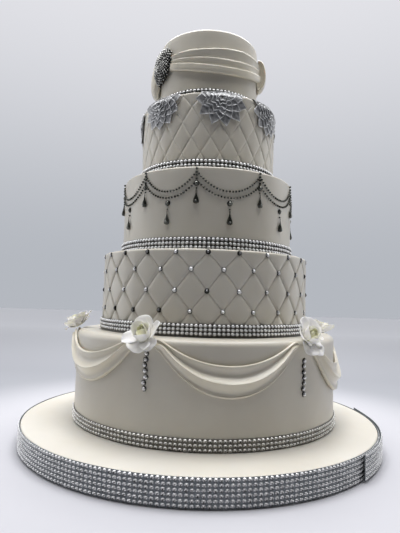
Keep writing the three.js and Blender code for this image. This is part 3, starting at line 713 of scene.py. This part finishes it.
# Places down the gap under a fold, and how far out the paste is there: where it hangs flat, as a share of
# the fold's own reach, and where it is scooped out, as shares of this fold's reach and of the next one's.
BELOW_FOLD = [
    (0.14, 0.93, (0.82, 0)),
    (0.34, 0.82, (0.5, 0)),
    (0.58, 0.68, (0.24, 0.08)),
    (0.76, 0.56, (0.1, 0.34)),
    (0.9, 0.48, (0, 0.78)),
]


def pleats(folds, foot, hem=0.5, soft=0.6):
    """The section of folded paste, from its top edge to its foot, as (height, distance out) pairs. Each
    fold has a thin lip, as round as soft, and the paste falls back under it to the next one."""
    points = [(folds[0].z + 2.4 * soft, 0.1), (folds[0].z + 1.9 * soft, folds[0].out * 0.55)]
    for i, fold in enumerate(folds):
        last = i + 1 == len(folds)
        below = Fold(foot, fold.out * hem, 0) if last else folds[i + 1]
        gap = fold.z - below.z
        lip = min(soft * 1.6, gap / 8)
        points += [(fold.z + 1.0 * lip, fold.out * 0.84), (fold.z + 0.2 * lip, fold.out),
                   (fold.z - 1.0 * lip, fold.out * 0.97)]
        if last:
            points += [(between(fold.z, foot, share), fold.out * between(1, hem, share ** 2))
                       for share in (0.5, 0.85)]
        else:
            for share, flat, (own, next_own) in BELOW_FOLD:
                scooped = own * fold.out + next_own * below.out + 0.3
                points.append((between(fold.z, below.z, share),
                               between(flat * fold.out, scooped, fold.scoop)))
    return points + [(foot, folds[-1].out * hem * 0.6), (foot, 0.1)]


def draped(name, tier, start, sweep, steps, section, node, ripple=0.35, hollow=0):
    """Paste wrapped round a wall: section(t) gives its pleats at each step, and ripple is how uneven they
    are. hollow opens its first end to that depth."""
    rings = [section(i / steps) for i in range(steps + 1)]
    count = len(rings[0])
    seed = sum(ord(letter) for letter in name) * 0.37
    bm = bmesh.new()
    bmesh.ops.create_grid(bm, x_segments=steps, y_segments=count, size=0.5)
    for corner in bm.verts:
        i, j = round((corner.co.x + 0.5) * steps), round((corner.co.y + 0.5) * count) % count
        z, out = rings[i][j]
        if 0 < j < count - 1:
            wave = noise.noise(Vector((i / steps * sweep / 7, j * 0.9, seed)))
            out = max(0.2, out + ripple * wave * min(1, out / 3) * 2)
            z += ripple * 1.6 * noise.noise(Vector((i / steps * sweep / 11, j * 0.4, seed + 9)))
        corner.co = around(tier, start + sweep * i / steps, tier.radius + GAP + out, z)
    bmesh.ops.remove_doubles(bm, verts=bm.verts, dist=WELD)
    close_up(bm)
    if hollow:
        mouth = around(tier, start, tier.radius, rings[0][0][0])
        end = min((face for face in bm.faces if len(face.verts) == count),
                  key=lambda face: (face.calc_center_median() - mouth).length)
        bmesh.ops.inset_region(bm, faces=[end], thickness=LOOP_WALL * MM)
        bmesh.ops.translate(bm, vec=-end.normal * hollow * MM, verts=end.verts)
    piece(bm, name, DRAPE_PASTE, [node], smooth=2)


def swag(number):
    """One swag between two roses, gathered at both."""
    sweep = ROSE_STEP - 2 * SWAG_INSET

    def section(t):
        edge = abs(2 * t - 1) * (sweep / ROSE_STEP)
        swell = 0.42 + 0.58 * math.sin(math.pi * t) ** 0.6
        sag = SWAG_DROPS[number] * (1 - edge ** 2)
        folds = [Fold(min(z + rise * edge ** power - sag, SWAG_LIMIT - 4.5 * i), out * swell, scoop)
                 for i, (z, rise, power, out, scoop) in enumerate(SWAG_FOLDS)]
        return pleats(folds, folds[-1].z - 2.6)

    draped(f"swag_{number + 1}_folds", TIERS[0], FIRST_ROSE + number * ROSE_STEP + SWAG_INSET,
           sweep, 30, section, f"swag_{number + 1}")


for number in range(len(ROSES)):
    swag(number)


SASH_START, SASH_SWEEP = -49.5, 127.5
SASH_LOW = 13                   # the angle where its folds hang lowest
BACK_START, BACK_SWEEP = 78.6, 214.4


def sash_section(t):
    """The pleats across the front of the top tier, gathered under the brooch."""
    angle = SASH_START + SASH_SWEEP * t
    off = (angle - SASH_LOW) / 62
    rise = abs(off) ** 1.9
    gathered = 0.25 + 0.75 * min(1, (angle - SASH_START) / 8)
    folds = [Fold(552.2 + 5.5 * min(1, max(0, angle / 40)), 5.8 * gathered, 0.25),
             Fold(539.3 + (14 if off > 0 else 8.5) * rise, 5 * gathered, 0.3),
             Fold(527.7 + 16 * rise, 6.6 * gathered, 0)]
    return pleats(folds, 517.8 + 16 * rise, 0.85, 1.0)


# A loop of the sash: where it is along the back and how far it reaches, as shares of the back's length, its
# top and foot, how far it stands off, and how much more it does so low down.
Loop = namedtuple("Loop", "where reach top foot out skew")
LOOPS = [Loop(0.03, 0.055, 577, 524, 14.5, 1), Loop(0.92, 0.07, 582, 508, 14.5, 1.42)]
LOOP_WALL, LOOP_HOLLOW = 1.6, 7


def back_section(t):
    """The pleats round the back. At each loop the sash stands off the wall as one round bulge."""
    edge = abs(2 * t - 1)
    folds = [Fold(553 + 2.5 * t, 5.5, 0.25),
             Fold(541 + 5 * edge ** 4, 5, 0.3),
             Fold(528.5 + 18 * edge ** 2.4, 7, 0)]
    points = pleats(folds, 520.5 + 20 * edge ** 2.6, 0.85, 1.0)
    for loop in LOOPS:
        share = math.exp(-abs((t - loop.where) / loop.reach) ** 3)
        for i, (z, out) in enumerate(points):
            turn = i / (len(points) - 1)
            loop_z = between(loop.top, loop.foot, (1 - math.cos(math.pi * turn)) / 2)
            loop_out = loop.out * math.sin(math.pi * turn ** loop.skew) ** 0.8 + 0.1
            points[i] = (between(z, loop_z, share), between(out, loop_out, share))
    return points


draped("drape_front_folds", TIERS[4], SASH_START, SASH_SWEEP, 44, sash_section, "drape_front", 0.2)
draped("drape_back_folds", TIERS[4], BACK_START, BACK_SWEEP, 72, back_section, "drape_back", 0.2,
       LOOP_HOLLOW)

# ------------------------ sugar roses

PETAL_CELLS, CLIMB_STEPS = 8, 6
Petal = namedtuple("Petal", "turn start length width rise flop cup ruffle")
# Outer petals, as turn, length, half width, rise and flop. Turns count from the right, and 270 is in front.
BLOOMS = [
    [(192, 23, 10.5, 8, 2), (266, 18, 17, -14, 24), (14, 25, 11, 30, 62), (95, 22, 13, 45, 35),
     (318, 19, 11, 6, -4)],
    [(176, 24, 15, 28, 34), (232, 23, 15, 14, -8), (288, 21, 13, 6, 12), (342, 16, 10, 22, -4),
     (50, 25, 15, 34, 26), (112, 24, 14, 42, 40)],
]


def petal(bm, place, heart, spec):
    """One round petal about +Z: it climbs at `rise` from a ring of radius `start`, flops to `flop`, and is
    cupped across on a circle of radius `cup`."""
    grid = bmesh.ops.create_grid(bm, x_segments=PETAL_CELLS, y_segments=PETAL_CELLS, size=1)
    for corner in grid["verts"]:
        # The square grid is drawn in to a disc.
        side = corner.co.x * math.sqrt(1 - corner.co.y ** 2 / 2)
        share = (corner.co.y * math.sqrt(1 - corner.co.x ** 2 / 2) + 1) / 2
        radius, z = spec.start, 0.5
        for i in range(CLIMB_STEPS):
            slope = math.radians(between(spec.rise, spec.flop, (share * (i + 0.5) / CLIMB_STEPS) ** 1.4))
            radius += spec.length * share / CLIMB_STEPS * math.cos(slope)
            z += spec.length * share / CLIMB_STEPS * math.sin(slope)
        bend = side * spec.width / spec.cup
        inward = spec.cup * (1 - math.cos(bend))
        reach = math.hypot(side, 2 * share - 1)
        rolled = -2.2 * max(0, reach - 0.72) ** 1.5 * spec.ruffle
        frill = spec.ruffle * share ** 2 * math.sin(side * 4.4 + spec.turn) * abs(side) ** 0.5
        lift = inward + frill + rolled
        radius -= lift * math.sin(slope)
        z += lift * math.cos(slope)
        sideways = spec.cup * math.sin(bend)
        corner[heart] = math.exp(-((math.hypot(radius, sideways) / 7) ** 4))
        turn = math.radians(spec.turn)
        corner.co = place @ Vector((radius * math.cos(turn) - sideways * math.sin(turn),
                                    radius * math.sin(turn) + sideways * math.cos(turn), z))


def rose(number):
    """A gum-paste rose: a bud of four wrapped petals, three cupped ones round it and its ruffled outer
    ones."""
    seat = ROSES[number]
    tier = TIERS[0]
    angle = FIRST_ROSE + number * ROSE_STEP + math.degrees(seat.side / tier.radius)
    foot = around(tier, angle, tier.radius - tier.edge * 0.29 + seat.out, tier.top - 1.5 + seat.up)
    place = (Matrix.Translation(foot) @ Matrix.Rotation(math.radians(angle), 4, "Z")
             @ Matrix.Rotation(math.radians(90 - seat.lean), 4, "X")
             @ Matrix.Rotation(math.radians(seat.turn), 4, "Z") @ Matrix.Scale(MM, 4))
    pick = random.Random(number + 40)
    petals = [Petal(40 + i * 130, 3.4 + 0.9 * i, 15 + 0.8 * i, 7.5 + 0.5 * i, 86, 108, 5 + 0.7 * i, 0.2)
              for i in range(4)]
    petals += [Petal(30 + i * 120 + pick.uniform(-9, 9), 7.4, 17.5 + pick.uniform(-1, 1), 11.5,
                     70, 84, 9.6, 0.8) for i in range(3)]
    petals += [Petal(turn + pick.uniform(-5, 5), 5, length * pick.uniform(0.96, 1.05), width,
                     rise, flop, 22, 2.4) for turn, length, width, rise, flop in BLOOMS[seat.bloom]]
    bm = bmesh.new()
    heart = bm.verts.layers.float.new("heart")
    for spec in petals:
        petal(bm, place, heart, spec)
    bmesh.ops.recalc_face_normals(bm, faces=bm.faces)
    piece(bm, f"rose_{number + 1}_petals", ROSE_PASTE, [f"rose_{number + 1}"], smooth=1,
          wall=0.6)


for number in range(len(ROSES)):
    rose(number)

# ------------------------ silver flowers

FOLD_ROUND = 2.2                # radius of a flower's fold over the rim
UNDER_FLOWER = 0.5              # how far its underside is off the icing
# The cut layers of a flower: radius of its points, how many, how deep they are cut, and its height at its
# hub and at its points.
FLOWER_LAYERS = [
    (36, 11, 8.5, 0.7, 1.4),
    (28.5, 11, 7, 1.3, 2.1),
    (22, 10, 5.4, 1.9, 2.8),
    (16, 9, 4, 2.5, 3.5),
    (10.5, 8, 2.8, 3.1, 4.1),
    (5.5, 6, 1.5, 3.7, 4.6),
]
LOWER_STRETCH = 1.1
LEDGE_LIFT = 0.15               # how much of a flower's height is left where it lies on the ledge


def over_rim(tier, angle, x, y, z):
    """Folds a flat point over a tier's rim: x along the wall, y up it and z out of it."""
    beyond = y - FLOWER_BELOW_RIM + FOLD_ROUND
    z *= between(1, LEDGE_LIFT, min(1, max(0, (beyond + 5) / 5)))
    arc = FOLD_ROUND * math.pi / 2
    edge = tier.radius + UNDER_FLOWER - FOLD_ROUND
    top = tier.top + UNDER_FLOWER
    if beyond < 0:
        radius, height = edge + FOLD_ROUND + z, top - FOLD_ROUND + beyond
    elif beyond < arc:
        turn = beyond / FOLD_ROUND
        radius = edge + (FOLD_ROUND + z) * math.cos(turn)
        height = top - FOLD_ROUND + (FOLD_ROUND + z) * math.sin(turn)
    else:
        radius, height = edge - (beyond - arc) * LEDGE_SQUEEZE, top + z
    return around(tier, angle + math.degrees(x / tier.radius), radius, height)


def silver_flower(number):
    """A flower of cut paste layers with pointed, lipped edges, folded over the rim."""
    tier, centre = TIERS[3], FLOWER_ANGLES[number]
    pick = random.Random(number + 70)
    bm = bmesh.new()
    dust_and_painted_light = bm.verts.layers.float.new("dust_and_painted_light")
    for layer, (reach, points, notch, hub, lift) in enumerate(FLOWER_LAYERS):
        inner = reach * 0.3
        phase = layer * 0.5 + number * 0.3
        lengths = [pick.uniform(-0.05, 0.05) * reach for _ in range(points)]
        raised = [pick.uniform(-0.3, 0.5) for _ in range(points)]
        grid = bmesh.ops.create_grid(bm, x_segments=points * 8, y_segments=7, size=0.5)
        for corner in grid["verts"]:
            along = (corner.co.x + 0.5) * points
            which, off = round(along) % points, abs(along - round(along)) * 2
            share = 1 - (0.5 - corner.co.y) ** 1.6
            rim = reach + lengths[which] * (1 - off) - notch * off ** 0.85
            r = between(inner, rim, share)
            lip = max(0, 1 - (rim - r) / (0.5 + reach / 26))
            z = between(hub, lift, ((r - inner) / (reach - inner)) ** 1.5)
            z += 0.5 * lip + raised[which] * (1 - off) * share ** 6
            turn = FULL_TURN * (along + phase) / points
            x, y = r * math.cos(turn), r * math.sin(turn)
            y *= LOWER_STRETCH if y < 0 else 1
            bend = min(1, max(0, (FLOWER_BELOW_RIM - y) / 4))
            # Lighter on the lips, where most dust lies and where a highlight is painted; darker over the
            # ledge, painted shade.
            corner[dust_and_painted_light] = min(1, 0.33 + 0.67 * lip ** 2) * between(0.1, 1, bend)
            corner.co = over_rim(tier, centre, x, y, z)
    bmesh.ops.remove_doubles(bm, verts=bm.verts, dist=WELD)
    # A dark disc under the layers fills what shows between them, as painted shade between the layers.
    base = bmesh.ops.create_circle(bm, cap_ends=True, segments=34, radius=1)
    body = bmesh.ops.extrude_face_region(bm, geom=list({f for v in base["verts"] for f in v.link_faces}))
    raised = {v for v in body["geom"] if isinstance(v, bmesh.types.BMVert)}
    for corner in set(base["verts"]) | raised:
        reach = 24 if corner in raised else 26
        corner[dust_and_painted_light] = 0
        corner.co = over_rim(tier, centre, corner.co.x * reach, corner.co.y * reach,
                             0.9 if corner in raised else 0)
    bmesh.ops.recalc_face_normals(bm, faces=bm.faces)
    name = f"silver_flower_{number + 1}"
    piece(bm, name + "_petals", FLOWER_PASTE, [name], wall=0.5)


for number in range(len(FLOWER_ANGLES)):
    silver_flower(number)

# ------------------------ brooch


def on_brooch(x, y, lift):
    """A point on the domed face of the brooch, at shares x and y of its half width and half height. Its
    outline is a little squarer than an oval, and leans."""
    out = BROOCH_OUT * math.sqrt(max(0, 1 - x * x - y * y)) + lift
    tier = TIERS[4]
    fuller = 1 + 0.45 * x * x * y * y / max(0.01, x * x + y * y)
    x, y = x * fuller, y * fuller
    angle = BROOCH_ANGLE + BROOCH_LEAN * y + math.degrees(x * BROOCH_WIDE / tier.radius)
    return around(tier, angle, tier.radius + 0.9 + out, BROOCH_Z + y * BROOCH_TALL)


back = bmesh.new()
bmesh.ops.create_uvsphere(back, u_segments=32, v_segments=12, radius=1)
bmesh.ops.bisect_plane(back, geom=back.verts[:] + back.edges[:] + back.faces[:], dist=WELD,
                       plane_co=(0, 0, 0), plane_no=(0, 0, 1), clear_inner=True)
close_up(back)
back_shade = back.verts.layers.float.new("shade")
for corner in back.verts:
    corner[back_shade] = 0.2
    corner.co = on_brooch(corner.co.x * 0.97, corner.co.y * 0.97, -0.4)
piece(back, "brooch_back", GRAPHITE, ["brooch"])

pave = bmesh.new()
GOLDEN = math.pi * (3 - math.sqrt(5))
for i in range(BROOCH_STONE_COUNT):
    share = math.sqrt((i + 0.5) / BROOCH_STONE_COUNT) * 0.985
    x, y = share * math.cos(i * GOLDEN), share * math.sin(i * GOLDEN)
    at = on_brooch(x, y, 0)
    right = (on_brooch(x + 0.01, y, 0) - on_brooch(x - 0.01, y, 0)).normalized()
    up = (on_brooch(x, y + 0.01, 0) - on_brooch(x, y - 0.01, 0)).normalized()
    out = right.cross(up).normalized()
    axes = Matrix((right, out.cross(right), out)).transposed().to_4x4()
    size = draw.uniform(*BROOCH_STONE_SIZES) * MM
    tilt = Matrix.Rotation(math.radians(draw.uniform(-16, 16)), 4, "X")
    place = Matrix.Translation(at) @ axes @ tilt @ Matrix.Diagonal((size, size, size * 0.9, 1))
    set_form(pave, GEM, place, draw.uniform(-0.15, 0.66))
piece(pave, "brooch_stones", BROOCH_STONES, ["brooch"], flat=True)

# ------------------------ table, light and camera

TABLE_REACH = 6                 # metres
floor_bm = bmesh.new()
bmesh.ops.create_grid(floor_bm, x_segments=1, y_segments=1, size=TABLE_REACH)
floor_mesh = as_mesh(floor_bm, "table")
floor_mesh.materials.append(table_top("white_laminate"))
floor = in_scene("table", floor_mesh)


def panel(name, wide, tall, watts, at, towards):
    """A soft light panel that the camera doesn't see. Its sizes and places are in metres."""
    light = bpy.data.lights.new(name, "AREA")
    light.shape = "RECTANGLE"
    light.size, light.size_y = wide, tall
    light.energy = watts
    made = in_scene(name, light)
    made.location = at
    made.rotation_euler = (Vector(towards) - Vector(at)).to_track_quat("-Z", "Y").to_euler()
    made.visible_camera = False


panel("overhead_softbox", 1.15, 0.95, 18, (0, 0.1, 1.2), (0, 0.1, 0))
panel("left_wall", 1.0, 1.2, 3.6, (-1.35, 0.3, 0.3), (0, 0, 0.2))
panel("right_wall", 1.0, 1.2, 3.4, (1.35, 0.3, 0.42), (0, 0, 0.3))

world = bpy.data.worlds.new("pale_room")
bpy.context.scene.world = world
world.use_nodes = True
sky = world.node_tree
LIT_CEILING = (1.6, 1.6, 1.65, 1)
# The room is pale behind the cake and brighter higher up, and dim in front of it, under a lit ceiling.
ray = add(sky, "TexCoord").outputs["Generated"]
towards_back = add(sky, "VectorMath", {0: ray, 1: Vector((-0.25, 1, 0)).normalized()},
                   operation="DOT_PRODUCT")
behind = add(sky, "MapRange", {"Value": towards_back.outputs["Value"], "From Min": -0.12,
                               "From Max": 0.1}, interpolation_type="SMOOTHSTEP")
parts = add(sky, "SeparateXYZ", {"Vector": ray})
higher = add(sky, "MapRange", {"Value": parts.outputs["Z"], "From Min": 0.04, "From Max": 0.72},
             interpolation_type="SMOOTHSTEP")
overhead = add(sky, "MapRange", {"Value": parts.outputs["Z"], "From Min": 0.76, "From Max": 0.9},
               interpolation_type="SMOOTHSTEP")
back = mixed(sky, higher.outputs["Result"], linear("#B4B8BF"), linear("#E8E8ED"))
front = mixed(sky, overhead.outputs["Result"], linear("#0C0C0B"), LIT_CEILING)
fill(sky, sky.nodes["Background"], {"Color": mixed(sky, behind.outputs["Result"], front, back)})

CAMERA_AT = (2.95, -685.8, 196.6)
FOCAL_PX, FRAME_PX = 447.176, 533
SENSOR = 36
yaw, pitch, roll = [math.radians(a) for a in (-0.7514, 4.3109, 1.6337)]
ahead = Vector((math.sin(yaw) * math.cos(pitch), math.cos(yaw) * math.cos(pitch), math.sin(pitch)))
level = Vector((math.cos(yaw), -math.sin(yaw), 0))
upright = level.cross(ahead)
aside = level * math.cos(roll) + upright * math.sin(roll)
above = upright * math.cos(roll) - level * math.sin(roll)
lens = bpy.data.cameras.new("camera")
lens.sensor_width = SENSOR
lens.lens = FOCAL_PX * SENSOR / FRAME_PX
lens.clip_start = 0.01
camera = in_scene("camera", lens)
camera.matrix_world = (Matrix.Translation(Vector(CAMERA_AT) * MM)
                       @ Matrix((aside, above, -ahead)).transposed().to_4x4())
bpy.context.scene.camera = camera
bpy.context.scene.view_settings.view_transform = "Standard"
